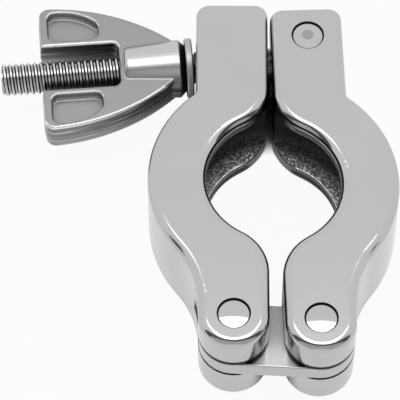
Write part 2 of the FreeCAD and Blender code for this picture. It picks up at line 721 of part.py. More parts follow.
def drawRecesses(sketch):
    # One hollow in each wing: straight along the slot, and an arc that falls away towards the hub
    far = size("wing_length") - size("recess_end_wall")
    near = far - size("recess_length")
    inner = size("wing_slot") / 2 + size("recess_slot_wall")
    curve, peak = size("recess_curve"), far - size("recess_peak")
    down = size("wing_span") / 2 - size("recess_outer_wall") - curve
    for side, name in ((1, "upper"), (-1, "lower")):

        def at(x, y):
            return Vector(x, side * y, 0)

        farEnd = at(far, down + math.sqrt(curve ** 2 - (far - peak) ** 2))
        nearEnd = at(near, down + math.sqrt(curve ** 2 - (near - peak) ** 2))
        outline = Outline(sketch)
        wall = outline.line(at(near, inner), at(far, inner))
        farLine = outline.line(at(far, inner), farEnd)
        curved = outline.arc(farEnd, middleOf(at(peak, down), curve, farEnd, nearEnd), nearEnd)
        nearLine = outline.line(nearEnd, at(near, inner))
        outline.close(corners=(wall, farLine, curved, nearLine))
        for line in (farLine, nearLine):
            sketch.addConstraint(Sketcher.Constraint("Vertical", line))
        placePoint(sketch, wall, 1, near, side * inner, f"{name}_near",
                   f"{RECESS_FAR} - {cell('recess_length')}", flip(side, RECESS_INNER))
        placePoint(sketch, wall, 2, far, side * inner, f"{name}_far", RECESS_FAR, flip(side, RECESS_INNER))
        placePoint(sketch, curved, 3, peak, side * down, f"{name}_centre",
                   f"{RECESS_FAR} - {cell('recess_peak')}", flip(side, RECESS_DOWN))
        bindConstraint(sketch, "Radius", curved, expression=cell("recess_curve"), name=f"{name}_curve",
                       value=curve)


def drawHub(section):
    # Half of the hub's lengthwise section, from the chamfered nose to the rounded end at the slot
    nose, back, chamfer = size("hub_nose_radius"), size("hub_back_radius"), size("nose_chamfer")
    length, corner = size("wing_length") - size("slot_length") - size("hub_set_back"), size("hub_round")
    centre = Vector(length - corner, back - corner, 0)
    shoulder, rim = centre + Vector(0, corner, 0), centre + Vector(corner, 0, 0)
    outline = Outline(section)
    axis = outline.line(Vector(length, 0, 0), Vector(0, 0, 0))
    face = outline.line(Vector(0, 0, 0), Vector(0, nose - chamfer, 0))
    slope = outline.line(Vector(0, nose - chamfer, 0), Vector(chamfer, nose, 0))
    side = outline.line(Vector(chamfer, nose, 0), shoulder)
    roundEnd = outline.arc(shoulder, middleOf(centre, corner, shoulder, rim), rim)
    end = outline.line(rim, Vector(length, 0, 0))
    outline.close(corners=(axis, face, slope, side, end))
    placePoint(section, face, 1, 0, 0, "middle", None, None)
    placePoint(section, face, 2, 0, nose - chamfer, "face_rim",
               None, f"{cell('hub_nose_radius')} - {cell('nose_chamfer')}")
    placePoint(section, side, 1, chamfer, nose, "nose", cell("nose_chamfer"), cell("hub_nose_radius"))
    placePoint(section, side, 2, length - corner, back, "shoulder",
               f"{HUB_END} - {cell('hub_round')}", cell("hub_back_radius"))
    placePoint(section, roundEnd, 3, centre.x, centre.y, "round_centre",
               f"{HUB_END} - {cell('hub_round')}", f"{cell('hub_back_radius')} - {cell('hub_round')}")
    placePoint(section, end, 2, length, 0, "axis_end", HUB_END, None)


def makeWingNut(name):
    # Its own X axis is the bolt's, from the nose that presses on the washer to the wing tips
    body = newBody(name)
    half = size("wing_thickness") / 2
    halfExpression = f"{cell('wing_thickness')} / 2"
    plan = newSketch(body, f"{name}_plan", "XY_Plane", halfExpression)
    drawWings(plan)
    wings = addFeature(body, "Pad", f"{name}_wings", Profile=plan, Reversed=True)
    wings.setExpression("Length", halfExpression)
    wings.setExpression("TaperAngle", cell("wing_draft"))
    doc.recompute()
    behind = mirrorAcross(body, f"{name}_wings_behind", wings)
    edges = edgesOn(behind.Shape, lambda e: isOnFace(e, half) or isOnFace(e, -half))
    dressUp(body, "Fillet", f"{name}_edge_round", behind, edges, "Radius", cell("wing_round"))

    hollows = newSketch(body, f"{name}_recess_plan", "XY_Plane", halfExpression)
    drawRecesses(hollows)
    recess = addFeature(body, "Pocket", f"{name}_recess", Profile=hollows)
    recess.setExpression("Length", cell("recess_depth"))
    doc.recompute()
    mirror = mirrorAcross(body, f"{name}_recess_behind", recess)

    far = size("wing_length") - size("recess_end_wall")
    near = far - size("recess_length")
    inner = size("wing_slot") / 2 + size("recess_slot_wall")

    def isInRecess(edge):
        box = edge.BoundBox
        within = box.XMin > near - SAME_LENGTH and box.XMax < far + SAME_LENGTH
        return within and min(abs(box.YMin), abs(box.YMax)) > inner - SAME_LENGTH

    def isRecessCorner(edge):
        return isInRecess(edge) and isSame(edge.BoundBox.ZLength, size("recess_depth"))

    def isRecessEdge(edge, height):
        return isInRecess(edge) and (isOnFace(edge, height) or isOnFace(edge, -height))

    corners = edgesOn(mirror.Shape, isRecessCorner)
    shaped = dressUp(body, "Fillet", f"{name}_recess_corners", mirror, corners, "Radius", RECESS_CORNER)
    floor = edgesOn(shaped.Shape, lambda e: isRecessEdge(e, half - size("recess_depth")))
    floored = dressUp(body, "Fillet", f"{name}_recess_floor", shaped, floor, "Radius",
                      cell("recess_floor_round"))
    rim = edgesOn(floored.Shape, lambda e: isRecessEdge(e, half))
    dressUp(body, "Fillet", f"{name}_recess_rim", floored, rim, "Radius", cell("recess_rim_round"))

    section = newSketch(body, f"{name}_hub_section", "XY_Plane")
    drawHub(section)
    hub = addFeature(body, "Revolution", f"{name}_hub", Profile=section, Angle=360)
    hub.ReferenceAxis = (originFeature(body, "X_Axis"), [""])
    doc.recompute()
    circle = newSketch(body, f"{name}_bore_circle", "YZ_Plane")
    bore = size("shank_diameter") / 2 + size("nut_clearance")
    drawCircle(circle, 0, 0, bore, "bore", None, None,
               f"{cell('shank_diameter')} / 2 + {cell('nut_clearance')}")
    cutThrough(body, f"{name}_bore", circle, f"4 * {cell('wing_length')}")
    return body


leftJaw = makeJaw("left_jaw", -1, False)
rightJaw = makeJaw("right_jaw", 1, True)
linkPlate = makeLinkPlate("link_plate")
leftHingePin = makePin("left_hinge_pin", False)
rightHingePin = makePin("right_hinge_pin", False)
eyeBoltPin = makePin("eye_bolt_pin", True)
eyeBolt = makeEyeBolt("eye_bolt")
washer = makeWasher("washer")
wingNut = makeWingNut("wing_nut")

# Each piece is placed in the closed clamp from the same dimensions
TILT = f"({cell('link_tilt')} * 1 deg)"
TURN = f"({cell('jaw_turn')} * 1 deg)"
BOLT_TILT = f"({cell('bolt_tilt')} * 1 deg)"
LEFT_PIN_X = f"-{PIN_OUT}"
PIN_Y = f"-{PIN_DROP}"
RIGHT_PIN_X = f"({cell('hinge_pitch')} * (cos({TILT}) - 1 / 2))"
RIGHT_PIN_Y = f"(-{PIN_DROP} - {cell('hinge_pitch')} * sin({TILT}))"
JAW_X = f"({RIGHT_PIN_X} - {PIN_OUT} * cos({TURN}) - {PIN_DROP} * sin({TURN}))"
JAW_Y = f"({RIGHT_PIN_Y} - {PIN_OUT} * sin({TURN}) + {PIN_DROP} * cos({TURN}))"
EYE_X = f"({JAW_X} + {EYE_OUT} * cos({TURN}) - {EYE_UP} * sin({TURN}))"
EYE_Y = f"({JAW_Y} + {EYE_OUT} * sin({TURN}) + {EYE_UP} * cos({TURN}))"
BOLT_ANGLE = f"(180 + {cell('bolt_tilt')})"

# The washer lies just clear of the left leg's outer face and of the corner it swings past
LEG_REACH = f"({EYE_X} + {cell('leg_outer_face')})"
WASHER_DIP = f"(({cell('washer_diameter')} / 2 - {cell('shank_offset')}) * sin({BOLT_TILT}))"
FACE_REACH = f"(({LEG_REACH} + {WASHER_DIP}) / cos({BOLT_TILT}))"
CORNER_ACROSS = f"({LEG_REACH} - {cell('leg_corner')})"
CORNER_UP = f"({LEG_TOP} - {cell('leg_corner')} - {EYE_Y})"
CORNER_REACH = f"(sqrt({CORNER_ACROSS}^2 + {CORNER_UP}^2) + {cell('leg_corner')})"
WASHER_AT = f"(max({FACE_REACH}; {CORNER_REACH}) + {cell('washer_swing_gap')})"
NUT_AT = f"({WASHER_AT} + {cell('washer_thickness')} + {cell('nut_gap')})"


def onBolt(distance):
    # A point on the shank's axis, that far from the eye pin, as two expressions
    x = f"{EYE_X} - {distance} * cos({BOLT_TILT}) - {cell('shank_offset')} * sin({BOLT_TILT})"
    y = f"{EYE_Y} - {distance} * sin({BOLT_TILT}) + {cell('shank_offset')} * cos({BOLT_TILT})"
    return x, y


def place(body, x, y, angle=None):
    body.setExpression("Placement.Base.x", f"({x}) * 1 mm")
    body.setExpression("Placement.Base.y", f"({y}) * 1 mm")
    if angle is not None:
        body.Placement = FreeCAD.Placement(Vector(0, 0, 0), FreeCAD.Rotation(Vector(0, 0, 1), 1))
        body.setExpression("Placement.Rotation.Angle", f"{angle} * 1 deg")


place(rightJaw, JAW_X, JAW_Y, cell("jaw_turn"))
place(linkPlate, f"({LEFT_PIN_X} + {RIGHT_PIN_X}) / 2", f"({PIN_Y} + {RIGHT_PIN_Y}) / 2",
      f"-{cell('link_tilt')}")
place(leftHingePin, LEFT_PIN_X, PIN_Y)
place(rightHingePin, RIGHT_PIN_X, RIGHT_PIN_Y)
place(eyeBoltPin, EYE_X, EYE_Y)
place(eyeBolt, EYE_X, EYE_Y, BOLT_ANGLE)
place(washer, *onBolt(WASHER_AT), BOLT_ANGLE)
place(wingNut, *onBolt(NUT_AT), BOLT_ANGLE)
doc.recompute()

pieces = [
    leftJaw, rightJaw, linkPlate, leftHingePin, rightHingePin, eyeBoltPin, eyeBolt, washer, wingNut,
]
for thing in doc.Objects:
    if "Invalid" in thing.State or "Error" in thing.State:
        raise RuntimeError(f"{thing.Name} did not build: {thing.State}")
for piece in pieces:
    if piece.Shape.isNull() or not piece.Shape.isValid() or len(piece.Shape.Solids) != 1:
        raise RuntimeError(f"{piece.Label} is not one sound solid")
    box = piece.Shape.BoundBox
    print(piece.Label, round(piece.Shape.Volume, 1), "mm3",
          [round(v, 2) for v in (box.XMin, box.XMax, box.YMin, box.YMax, box.ZMin, box.ZMax)])

os.makedirs("parts", exist_ok=True)
for piece in pieces:
    piece.Shape.exportStep(f"parts/{piece.Label}.step")
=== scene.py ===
import math

import bpy
from mathutils import Matrix, Vector


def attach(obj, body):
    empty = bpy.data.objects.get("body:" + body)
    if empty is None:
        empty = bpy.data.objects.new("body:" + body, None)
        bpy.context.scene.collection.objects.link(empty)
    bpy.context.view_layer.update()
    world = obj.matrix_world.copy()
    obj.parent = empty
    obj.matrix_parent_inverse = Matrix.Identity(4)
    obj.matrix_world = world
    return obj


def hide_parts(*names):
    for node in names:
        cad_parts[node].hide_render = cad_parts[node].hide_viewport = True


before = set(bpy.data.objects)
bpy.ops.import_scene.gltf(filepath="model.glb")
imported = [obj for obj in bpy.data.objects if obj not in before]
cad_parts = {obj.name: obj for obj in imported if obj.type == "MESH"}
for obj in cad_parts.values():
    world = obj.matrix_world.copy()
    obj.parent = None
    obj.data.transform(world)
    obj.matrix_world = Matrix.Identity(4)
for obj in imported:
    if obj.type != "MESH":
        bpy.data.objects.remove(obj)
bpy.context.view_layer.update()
mm = 0.001
hair = 1e-6  # places closer than this, in metres, count as one
scene = bpy.context.scene
print("frame loaded:", len(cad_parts), "pieces")

# The camera stands where the outline of the clamp in the photograph puts it
cameraSettings = {
    "place": (-0.010973, -0.254787, 0.434734),
    "right": (0.99998, 0.00603, -0.00220),
    "up": (-0.00409, 0.86248, 0.50607),
    "back": (0.00495, -0.50605, 0.86249),
    "lens": 253.87,
    "sensor": 36.0,
    "nearest": 0.01,
    "farthest": 20,
}


def makeCamera(settings):
    data = bpy.data.cameras.new("camera")
    data.lens = settings["lens"]
    data.sensor_width = settings["sensor"]
    data.clip_start = settings["nearest"]
    data.clip_end = settings["farthest"]
    camera = bpy.data.objects.new("camera", data)
    scene.collection.objects.link(camera)
    columns = [Vector(settings[side]).normalized() for side in ("right", "up", "back")]
    turn = Matrix(columns).transposed().to_4x4()
    camera.matrix_world = Matrix.Translation(settings["place"]) @ turn
    scene.camera = camera


makeCamera(cameraSettings)
scene.view_settings.view_transform = "Standard"


def deselectAll():
    if bpy.context.object and bpy.context.object.mode != "OBJECT":
        bpy.ops.object.mode_set(mode="OBJECT")
    bpy.ops.object.select_all(action="DESELECT")


def activate(piece):
    deselectAll()
    piece.select_set(True)
    bpy.context.view_layer.objects.active = piece


def nameNew(name):
    piece = bpy.context.object
    piece.name = name
    piece.data.name = name
    return piece


def editMode(piece, elements):
    # Opens the piece for editing with nothing selected
    activate(piece)
    bpy.ops.object.mode_set(mode="EDIT")
    bpy.ops.mesh.select_mode(type=elements)
    bpy.ops.mesh.select_all(action="DESELECT")


def leaveEdit():
    bpy.ops.object.mode_set(mode="OBJECT")


def selectVertices(piece, test):
    # Stays in edit mode, with the vertices that pass the test selected
    editMode(piece, "VERT")
    leaveEdit()
    for vertex in piece.data.vertices:
        vertex.select = bool(test(vertex.co))
    bpy.ops.object.mode_set(mode="EDIT")


def selectEdges(piece, test):
    # The test gets the edge's two ends
    editMode(piece, "EDGE")
    leaveEdit()
    points = [vertex.co for vertex in piece.data.vertices]
    for edge in piece.data.edges:
        edge.select = bool(test(points[edge.vertices[0]], points[edge.vertices[1]]))
    bpy.ops.object.mode_set(mode="EDIT")


def applyModifiers(piece):
    activate(piece)
    for modifier in list(piece.modifiers):
        bpy.ops.object.modifier_apply(modifier=modifier.name)


def applyPlace(piece):
    activate(piece)
    bpy.ops.object.transform_apply(location=True, rotation=True, scale=True)


def cutWith(piece, tool, operation):
    boolean = piece.modifiers.new("cut", "BOOLEAN")
    boolean.operation = operation
    boolean.object = tool
    boolean.solver = "EXACT"
    applyModifiers(piece)
    bpy.data.objects.remove(tool)


def joinPieces(pieces):
    deselectAll()
    for piece in pieces:
        piece.select_set(True)
    bpy.context.view_layer.objects.active = pieces[0]
    bpy.ops.object.join()
    return bpy.context.object


def setInPlace(piece, place, angle):
    # Turns about Z, moves, and leaves the object itself at the origin
    activate(piece)
    piece.matrix_world = Matrix.Translation(place) @ Matrix.Rotation(angle, 4, "Z") @ piece.matrix_world
    applyPlace(piece)


def addRod(name, start, end, radius, vertices):
    # A round bar along X, in millimetres
    bpy.ops.mesh.primitive_cylinder_add(
        vertices=vertices, radius=radius * mm, depth=(end - start) * mm,
        location=((start + end) / 2 * mm, 0, 0), rotation=(0, math.pi / 2, 0),
    )
    rod = nameNew(name)
    applyPlace(rod)
    return rod


# Eye bolt with its rolled thread, in millimetres, modelled along X from the centre of its eye
boltSettings = {
    "eyeCentre": (5.8953, 29.4697),
    "tilt": 4.8,
    "shankOffset": 0.7,
    "eyeRadius": 5.3,
    "eyeThickness": 6.0,
    "eyeHole": 2.81,
    "eyeRound": 0.45,
    "neckRadius": 2.62,
    "neckInset": 0.6,  # how far outside the eye's hole the neck starts
    "neckOverlap": 0.8,  # how far the neck runs into the thread
    "threadStart": 14.0,
    "length": 56.0,
    "crest": 2.94,
    "root": 2.54,
    "pitch": 1.14,
    # The profile of one pitch, in eight parts: from where to where it rises, and by which share of its height
    "profileParts": 8,
    "rises": ((0.5, 7.5, 0.04), (1.5, 6.5, 0.34), (2.5, 5.5, 0.54), (3.5, 4.5, 0.08)),
    "threadSteps": 40,
    "spareTurns": 3,  # for both ends together, because a bar trims the thread there
    "turnsBefore": 1.5,
    "mergeGap": 0.001,  # as a share of the pitch
    "barRadius": 1.02,  # as a share of the crest's radius
    "tipChamfer": 0.75,
    "tipSegments": 2,
    "tipProfile": 0.6,
    "eyeSegments": 3,
    "roundSteps": 96,
    "neckSteps": 64,
    "smoothAngle": 32,
}


def makeThread(settings):
    pitch, root, crest = settings["pitch"] * mm, settings["root"] * mm, settings["crest"] * mm
    start, end, parts = settings["threadStart"], settings["length"], settings["profileParts"]
    # One pitch of the profile: an edge along X, divided and drawn out to the crest
    bpy.ops.mesh.primitive_plane_add(size=pitch, location=(0, 0, 0))
    thread = nameNew("eye_bolt_thread")
    selectVertices(thread, lambda co: co.y > 0)
    bpy.ops.mesh.delete(type="VERT")
    selectVertices(thread, lambda co: True)
    bpy.ops.mesh.subdivide(number_cuts=parts - 1)
    leaveEdit()
    selectVertices(thread, lambda co: True)
    bpy.ops.transform.translate(value=(pitch / 2, pitch / 2 + root, 0))
    leaveEdit()
    for low, high, rise in settings["rises"]:
        selectVertices(thread, lambda co: low < co.x * parts / pitch < high)
        bpy.ops.transform.translate(value=(0, (crest - root) * rise, 0))
        leaveEdit()
    screw = thread.modifiers.new("screw", "SCREW")
    screw.axis = "X"
    screw.screw_offset = pitch
    screw.iterations = math.ceil((end - start) / settings["pitch"]) + settings["spareTurns"]
    screw.steps = settings["threadSteps"]
    screw.render_steps = settings["threadSteps"]
    screw.use_merge_vertices = True
    screw.merge_threshold = settings["mergeGap"] * pitch
    applyModifiers(thread)
    selectVertices(thread, lambda co: True)
    bpy.ops.mesh.remove_doubles(threshold=2 * settings["mergeGap"] * pitch)
    bpy.ops.mesh.select_all(action="DESELECT")
    bpy.ops.mesh.select_mode(type="EDGE")
    bpy.ops.mesh.select_non_manifold()
    bpy.ops.mesh.fill_holes(sides=0)
    bpy.ops.mesh.select_all(action="SELECT")
    bpy.ops.mesh.normals_make_consistent(inside=False)
    bpy.ops.transform.translate(value=((start - settings["turnsBefore"] * settings["pitch"]) * mm, 0, 0))
    leaveEdit()

    # A chamfered bar trims the thread at its start and its tip
    bar = addRod("thread_bar", start, end, settings["crest"] * settings["barRadius"], settings["roundSteps"])
    near, far = start * mm, end * mm
    selectEdges(bar, lambda a, b: min(a.x, b.x) > far - hair or max(a.x, b.x) < near + hair)
    bpy.ops.mesh.bevel(offset=settings["tipChamfer"] * mm, segments=settings["tipSegments"],
                       profile=settings["tipProfile"], affect="EDGES")
    leaveEdit()
    cutWith(thread, bar, "INTERSECT")
    return thread


def makeEye(settings):
    # A drilled disc with rounded rims
    thickness = settings["eyeThickness"] * mm
    bpy.ops.mesh.primitive_cylinder_add(
        vertices=settings["roundSteps"], radius=settings["eyeRadius"] * mm, depth=thickness,
    )
    eye = nameNew("eye_bolt_eye")
    selectEdges(eye, lambda a, b: abs(a.z - b.z) < hair)
    bpy.ops.mesh.bevel(offset=settings["eyeRound"] * mm, segments=settings["eyeSegments"], affect="EDGES")
    leaveEdit()
    bpy.ops.mesh.primitive_cylinder_add(
        vertices=settings["roundSteps"], radius=settings["eyeHole"] * mm, depth=2 * thickness,
    )
    cutWith(eye, nameNew("eye_drill"), "DIFFERENCE")
    return eye


def makeEyeBolt(settings):
    thread = makeThread(settings)
    neckStart = settings["eyeHole"] + settings["neckInset"]
    neckEnd = settings["threadStart"] + settings["neckOverlap"]
    neck = addRod("eye_bolt_neck", neckStart, neckEnd, settings["neckRadius"], settings["neckSteps"])
    for piece in (neck, thread):
        piece.location = (0, -settings["shankOffset"] * mm, 0)
        applyPlace(piece)
    bolt = joinPieces([thread, makeEye(settings), neck])
    bolt.name = "threaded_eye_bolt"
    centre = settings["eyeCentre"]
    setInPlace(bolt, (centre[0] * mm, centre[1] * mm, 0), math.radians(180 + settings["tilt"]))
    bpy.ops.object.shade_smooth_by_angle(angle=math.radians(settings["smoothAngle"]))
    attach(bolt, "bolt")
    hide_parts("eye_bolt")
    return bolt


bolt = makeEyeBolt(boltSettings)
print("eye bolt:", len(bolt.data.polygons), "faces")


def addNode(tree, kind, settings=None, values=None):
    node = tree.nodes.new(kind)
    for name, value in (settings or {}).items():
        setattr(node, name, value)
    for name, value in (values or {}).items():
        node.inputs[name].default_value = value
    return node


def feed(tree, socket, value):
    # A plain value is set on the socket, and a socket is linked to it
    if isinstance(value, bpy.types.NodeSocket):
        tree.links.new(value, socket)
    else:
        socket.default_value = value


def addMath(tree, operation, *values, clamp=False):
    node = addNode(tree, "ShaderNodeMath", {"operation": operation, "use_clamp": clamp})
    for socket, value in zip(node.inputs, values):
        feed(tree, socket, value)
    return node.outputs[0]


def multiply(tree, first, *others):
    for other in others:
        first = addMath(tree, "MULTIPLY", first, other)
    return first


def addSteps(tree, start, *steps):
    # Adds to a number each mask times its share, and keeps the sum between 0 and 1
    for mask, share in steps:
        start = addMath(tree, "MULTIPLY_ADD", mask, share, start, clamp=True)
    return start


def addLength(tree, first, second):
    squares = addMath(tree, "MULTIPLY_ADD", first, first, multiply(tree, second, second))
    return addMath(tree, "SQRT", squares)


def addVector(tree, operation, *values):
    node = addNode(tree, "ShaderNodeVectorMath", {"operation": operation})
    for socket, value in zip(node.inputs, values):
        feed(tree, socket, value)
    return node


def addRange(tree, value, low, high, toLow=0.0, toHigh=1.0):
    # A soft step from one value to another; it falls where low is above high
    node = addNode(tree, "ShaderNodeMapRange", {"clamp": True, "interpolation_type": "SMOOTHSTEP"}, {
        "From Min": low, "From Max": high, "To Min": toLow, "To Max": toHigh,
    })
    tree.links.new(value, node.inputs["Value"])
    return node.outputs["Result"]


def addBand(tree, value, rise, fall):
    return multiply(tree, addRange(tree, value, *rise), addRange(tree, value, *fall))


def addNoise(tree, coordinates, scale, detail, roughness):
    noise = addNode(tree, "ShaderNodeTexNoise", None, {"Detail": detail, "Roughness": roughness})
    tree.links.new(coordinates, noise.inputs["Vector"])
    feed(tree, noise.inputs["Scale"], scale)
    return noise.outputs["Fac"]


def addOcclusion(tree, samples, reach):
    node = addNode(tree, "ShaderNodeAmbientOcclusion", {"samples": samples}, {"Distance": reach})
    return node.outputs["AO"]


def blend(tree, first, second, factor):
    # Numbers mixed by a socket
    mix = addNode(tree, "ShaderNodeMix", {"data_type": "FLOAT"})
    feed(tree, mix.inputs["A"], first)
    feed(tree, mix.inputs["B"], second)
    tree.links.new(factor, mix.inputs["Factor"])
    return mix.outputs["Result"]


def mixColour(tree, first, second, factor):
    # first: a colour or a socket; second: a colour; factor: a socket
    mix = addNode(tree, "ShaderNodeMix", {"data_type": "RGBA"})
    feed(tree, mix.inputs["A"], (*first, 1) if isinstance(first, tuple) else first)
    feed(tree, mix.inputs["B"], (*second, 1))
    tree.links.new(factor, mix.inputs["Factor"])
    return mix.outputs["Result"]


def addCoordinates(tree, name):
    return addNode(tree, "ShaderNodeTexCoord").outputs[name]


def splitVector(tree, vector):
    split = addNode(tree, "ShaderNodeSeparateXYZ")
    tree.links.new(vector, split.inputs[0])
    return [split.outputs[axis] for axis in ("X", "Y", "Z")]


def splitPlace(tree):
    # The place on the piece as X, Y and Z in millimetres
    scaled = addVector(tree, "MULTIPLY", addCoordinates(tree, "Object"), (1 / mm, 1 / mm, 1 / mm))
    return splitVector(tree, scaled.outputs["Vector"])


def newGroup(name, inputs, outputs):
    tree = bpy.data.node_groups.new(name, "ShaderNodeTree")
    for socketName in inputs:
        tree.interface.new_socket(name=socketName, in_out="INPUT", socket_type="NodeSocketFloat")
    for socketName in outputs:
        tree.interface.new_socket(name=socketName, in_out="OUTPUT", socket_type="NodeSocketFloat")
    start = tree.nodes.new("NodeGroupInput")
    end = tree.nodes.new("NodeGroupOutput")
    return tree, start.outputs, end.inputs


def useGroup(tree, group, values=None):
    return addNode(tree, "ShaderNodeGroup", {"node_tree": group}, values).outputs


# Fine grain, cloudy patches, edges made lighter (part rubbed wear, part painted highlight) and painted shade
# in crevices, on every metal of the clamp
finishAndLightSettings = {
    "grainDetail": (3.0, 0.6),
    "patchDetail": (4.0, 0.55),
    "patchSpan": (0.3, 0.7),
    "edgeSpan": (0.955, 0.85),  # how far a rounded edge's normal agrees with the true one
    "edgeWander": -0.06,
    "paintedShadeReach": 0.003,
    "paintedShadeSpan": (0.75, 0.15),
    "samples": 6,
}


def makeFinishAndLightGroup(settings):
    tree, start, end = newGroup(
        "metalFinishAndLight", ["Grain Scale", "Patch Scale", "Edge Size"], ["Grain", "Patch", "Edge", "Painted Shade"],
    )
    place = addCoordinates(tree, "Object")
    patch = addNoise(tree, place, start["Patch Scale"], *settings["patchDetail"])
    feed(tree, end["Grain"], addNoise(tree, place, start["Grain Scale"], *settings["grainDetail"]))
    feed(tree, end["Patch"], addRange(tree, patch, *settings["patchSpan"]))
    bevel = addNode(tree, "ShaderNodeBevel", {"samples": settings["samples"]})
    feed(tree, bevel.inputs["Radius"], start["Edge Size"])
    normal = addNode(tree, "ShaderNodeNewGeometry").outputs["Normal"]
    dot = addVector(tree, "DOT_PRODUCT", bevel.outputs["Normal"], normal).outputs["Value"]
    # Edges lighter in colour: partly rubbed wear, partly a painted highlight
    wearAndSheen = addMath(tree, "MULTIPLY_ADD", patch, settings["edgeWander"], dot)
    feed(tree, end["Edge"], addRange(tree, wearAndSheen, *settings["edgeSpan"]))
    # Painted shade: the colour goes dark where nearby forms close the surface in
    openness = addOcclusion(tree, settings["samples"], settings["paintedShadeReach"])
    feed(tree, end["Painted Shade"], addRange(tree, openness, *settings["paintedShadeSpan"]))
    return tree


def alongBolt(tree, settings):
    # How far out along the bolt from its eye a point lies, how far beside the screw's axis, and its height
    x, y, height = splitPlace(tree)
    angle = math.radians(180 + settings["tilt"])
    across = addMath(tree, "SUBTRACT", x, settings["eyeCentre"][0])
    along = addMath(tree, "SUBTRACT", y, settings["eyeCentre"][1])
    out = addMath(tree, "MULTIPLY_ADD", across, math.cos(angle), multiply(tree, along, math.sin(angle)))
    side = addMath(tree, "MULTIPLY_ADD", across, -math.sin(angle), multiply(tree, along, math.cos(angle)))
    return out, addMath(tree, "ADD", side, settings["shankOffset"]), height


# Painted shade down in the thread, between its crest and its root; spans are shares of these radii
threadSettings = {
    "crestSpan": (0.965, 0.94),
    "rootSpan": (1.003, 1.015),
    "rootTones": (0.3, 1.0),
    "startFade": (-0.2, 0.0),
    "tipFade": (-0.2, -0.3),
}


def makeThreadGroup(settings, bolt):
    tree, start, end = newGroup("threadRoot", [], ["Mask"])
    out, side, height = alongBolt(tree, bolt)
    radius = addLength(tree, side, height)
    below = addRange(tree, radius, *(bolt["crest"] * share for share in settings["crestSpan"]))
    above = addRange(tree, radius, *(bolt["root"] * share for share in settings["rootSpan"]),
                     *settings["rootTones"])
    past = addRange(tree, out, *(bolt["threadStart"] + step for step in settings["startFade"]))
    short = addRange(tree, out, *(bolt["length"] + step for step in settings["tipFade"]))
    feed(tree, end["Mask"], multiply(tree, below, above, past, short))
    return tree


# The cast wing nut: fine lines along its steep sides, darkened further as painted shade, painted shade at its
# nose, and painted highlights.
# Places are in millimetres along the bolt or beside its axis, and tilts are the normal's share of Z.
nutSettings = {
    "lineStretch": (0.03, 0.03, 1.0),
    "lineNoise": (2100.0, 2.0, 0.6),
    "darkLines": (0.34, 0.54),
    "brightLines": (0.4, 0.32),
    "lineTilt": (0.35, 0.2),
    "lineHeight": (-2.2, 0.4, 0.3, 1.0),
    "lineInward": (46.0, 32.0, 0.45, 1.0),
    # The wings' curved fronts are arcs about a point level with their tips, past the bolt's axis
    "tips": 48.45,
    "arcDrop": 24.45,
    "arcEdge": (36.7, 37.0),
    "slotSide": (5.4, 5.1),
    "recessTilt": (0.7, 0.4),
    "recessEnd": (-0.6, -1.0),
    "hubHeight": (3.1, 4.3),
    "noseEnd": (23.5, 23.2),
    "rimHeight": (2.6, 2.9),
    "rimTilt": (0.995, 0.97),
    "rimFacing": (0.0, -0.2),
    "hubEnd": (33.5, 33.7),
    "hubSide": (5.4, 5.7),
}


def makeNutGroup(settings, bolt):
    tree, start, end = newGroup("nutStreaksAndLight", [], ["Streaks", "Highlight", "Nose Shade", "Rim Highlights"])
    out, side, height = alongBolt(tree, bolt)
    aside, level = addMath(tree, "ABSOLUTE", side), addMath(tree, "ABSOLUTE", height)
    facing = splitVector(tree, addCoordinates(tree, "Normal"))
    tilt = addMath(tree, "ABSOLUTE", facing[2])
    # The lines run on the wings' curved fronts and in the slot between them, but not in the recesses
    ahead = addMath(tree, "SUBTRACT", out, settings["tips"])
    reach = addLength(tree, ahead, addMath(tree, "ADD", aside, settings["arcDrop"]))
    outside = addMath(tree, "MAXIMUM", addRange(tree, reach, *settings["arcEdge"]),
                      addRange(tree, aside, *settings["slotSide"]))
    steep = multiply(tree, addRange(tree, tilt, *settings["lineTilt"]), outside)
    stretched = addVector(tree, "MULTIPLY", addCoordinates(tree, "Object"), settings["lineStretch"])
    lines = addNoise(tree, stretched.outputs["Vector"], *settings["lineNoise"])
    # Painted shade: the lines are darker on the upper half and nearer the hub
    inward = addRange(tree, out, *settings["lineInward"])
    upper = addRange(tree, height, *settings["lineHeight"])
    dark = addRange(tree, lines, *settings["darkLines"])
    feed(tree, end["Streaks"], multiply(tree, dark, steep, inward, upper))
    # Painted highlights: thin lines between the dark ones, the recesses' walls and the hub's crown
    glints = multiply(tree, addRange(tree, lines, *settings["brightLines"]), steep)
    walls = multiply(tree, addRange(tree, tilt, *settings["recessTilt"]),
                     addRange(tree, ahead, *settings["recessEnd"]), addMath(tree, "SUBTRACT", 1.0, outside))
    paintedHighlight = addMath(tree, "MAXIMUM", glints, addRange(tree, level, *settings["hubHeight"]))
    feed(tree, end["Highlight"], addMath(tree, "MAXIMUM", paintedHighlight, walls))
    # Painted shade at the nose, in the gap before the washer
    feed(tree, end["Nose Shade"], addRange(tree, out, *settings["noseEnd"]))
    # Painted highlights on the rounded rims that face the hinges, outside the hub
    clear = addMath(tree, "MAXIMUM", addRange(tree, out, *settings["hubEnd"]),
                    addRange(tree, aside, *settings["hubSide"]))
    high = addRange(tree, level, *settings["rimHeight"])
    rounded = addRange(tree, tilt, *settings["rimTilt"])
    toHinges = addRange(tree, facing[1], *settings["rimFacing"])
    feed(tree, end["Rim Highlights"], multiply(tree, high, rounded, toHinges, clear))
    return tree


